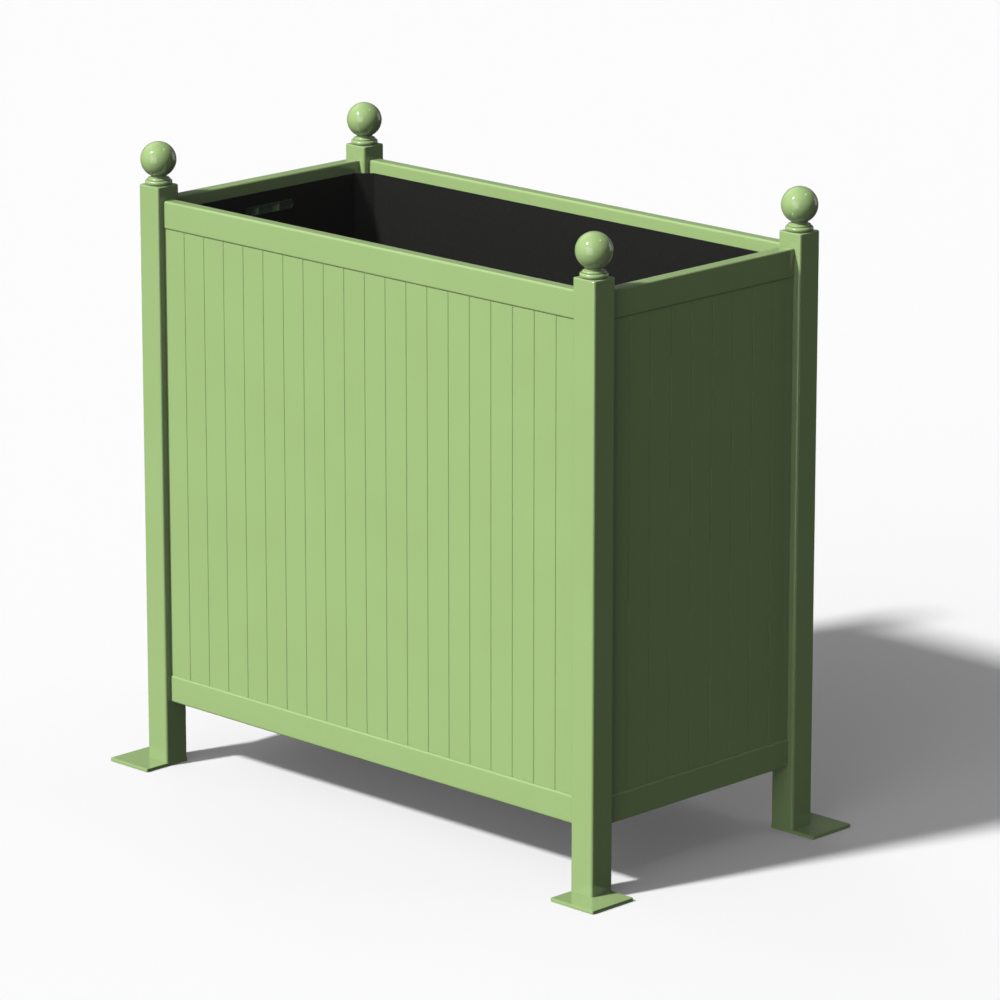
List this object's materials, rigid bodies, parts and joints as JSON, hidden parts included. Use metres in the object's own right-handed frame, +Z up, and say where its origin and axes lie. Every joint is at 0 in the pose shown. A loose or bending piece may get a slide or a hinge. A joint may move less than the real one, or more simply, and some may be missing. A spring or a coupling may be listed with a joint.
{
  "type": "planter",
  "caption": "Tall rectangular Versailles planter: square posts with ball finials, grooved green boards between rails, and a black lift-out liner with hand-hold slots.",
  "frame": {"origin": "on the ground under the middle of the planter, midway between the four posts", "axes": "+X along the long front towards the right, +Y from the front to the back, +Z up"},
  "size_m": [1.196, 0.646, 1.1315],
  "materials": {
    "green_frame": "satin",
    "green_boards": "satin",
    "liner_black": "satin",
    "zinc_screw": "satin"
  },
  "bodies": {
    "frame": {"bearer_screw_back_left": "zinc_screw", "bearer_screw_back_middle": "zinc_screw", "bearer_screw_back_right": "zinc_screw", "bearer_screw_front_left": "zinc_screw", "bearer_screw_front_middle": "zinc_screw", "bearer_screw_front_right": "zinc_screw", "board_panel_back": "green_boards", "board_panel_front": "green_boards", "board_panel_left": "green_boards", "board_panel_right": "green_boards", "bottom_rail_back": "green_frame", "bottom_rail_front": "green_frame", "bottom_rail_left": "green_frame", "bottom_rail_right": "green_frame", "finial_back_left": "green_frame", "finial_back_right": "green_frame", "finial_front_left": "green_frame", "finial_front_right": "green_frame", "foot_plate_back_left": "green_frame", "foot_plate_back_right": "green_frame", "foot_plate_front_left": "green_frame", "foot_plate_front_right": "green_frame", "ledge_screw_back_1": "zinc_screw", "ledge_screw_back_2": "zinc_screw", "ledge_screw_back_3": "zinc_screw", "ledge_screw_back_4": "zinc_screw", "ledge_screw_front_1": "zinc_screw", "ledge_screw_front_2": "zinc_screw", "ledge_screw_front_3": "zinc_screw", "ledge_screw_front_4": "zinc_screw", "liner_bearer_left": "green_frame", "liner_bearer_middle": "green_frame", "liner_bearer_right": "green_frame", "liner_ledge_back": "green_frame", "liner_ledge_front": "green_frame", "post_back_left": "green_frame", "post_back_right": "green_frame", "post_cap_back_left": "green_frame", "post_cap_back_right": "green_frame", "post_cap_front_left": "green_frame", "post_cap_front_right": "green_frame", "post_front_left": "green_frame", "post_front_right": "green_frame", "top_rail_back": "green_frame", "top_rail_front": "green_frame", "top_rail_left": "green_frame", "top_rail_right": "green_frame"},
    "liner": {"liner_end_left": "liner_black", "liner_end_right": "liner_black", "liner_floor": "liner_black", "liner_wall_back": "liner_black", "liner_wall_front": "liner_black"}
  },
  "joints": [
    {"name": "liner_lift", "type": "slide", "parent": "frame", "child": "liner", "axis": [0, 0, 1], "range_m": [0, 0.99]}
  ]
}
